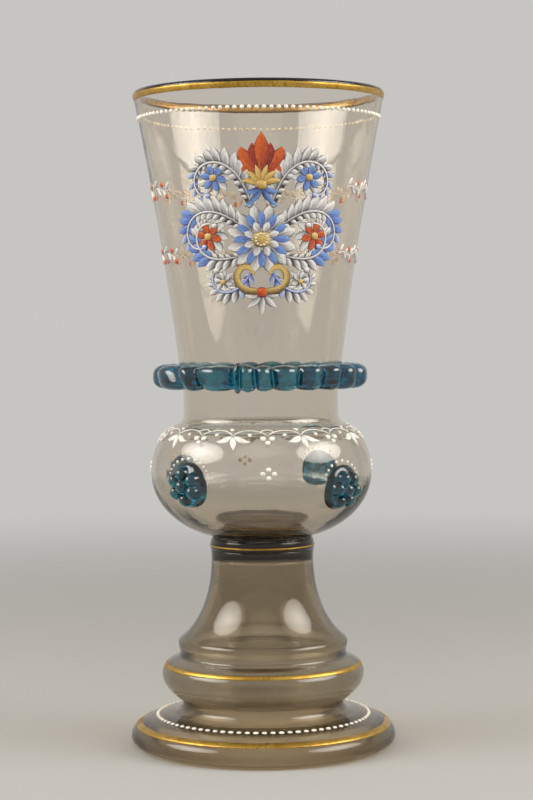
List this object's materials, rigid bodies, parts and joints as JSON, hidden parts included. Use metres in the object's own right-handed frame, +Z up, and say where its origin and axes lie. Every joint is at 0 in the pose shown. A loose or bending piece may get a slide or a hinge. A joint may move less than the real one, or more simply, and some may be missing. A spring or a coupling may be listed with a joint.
{
  "type": "roemer",
  "caption": "Tall footed drinking goblet of smoky blown glass, with a pinched blue glass collar, blue raspberry prunts on its round bulb, gilded lines and enamel beads.",
  "frame": {"origin": "on the axis of the goblet, in the plane of the flat ring that the foot stands on", "axes": "+Z up along the axis to the lip; the front, with the painted ornament, faces -Y; +X is to the right seen from the front"},
  "size_m": [0.1308, 0.1308, 0.32],
  "materials": {
    "smoky_glass": "clear light smoke-brown glass, fire polished",
    "blue_glass": "deep petrol-blue glass, fire polished",
    "gilding": "burnished gold, lightly rubbed",
    "white_enamel": "opaque fired enamel in raised dots and strokes",
    "painted_enamel": "opaque fired enamel in grey, blue, ochre and orange-red"
  },
  "bodies": {
    "root": {"foot": "smoky_glass", "merese": "smoky_glass", "bowl": "smoky_glass", "rigaree_collar": "blue_glass", "prunt_front_left": "blue_glass", "prunt_front_right": "blue_glass", "prunt_back_right": "blue_glass", "prunt_back_left": "blue_glass", "rim_gilding": "gilding", "merese_gilding": "gilding", "torus_gilding": "gilding", "foot_gilding": "gilding"}
  },
  "joints": []
}
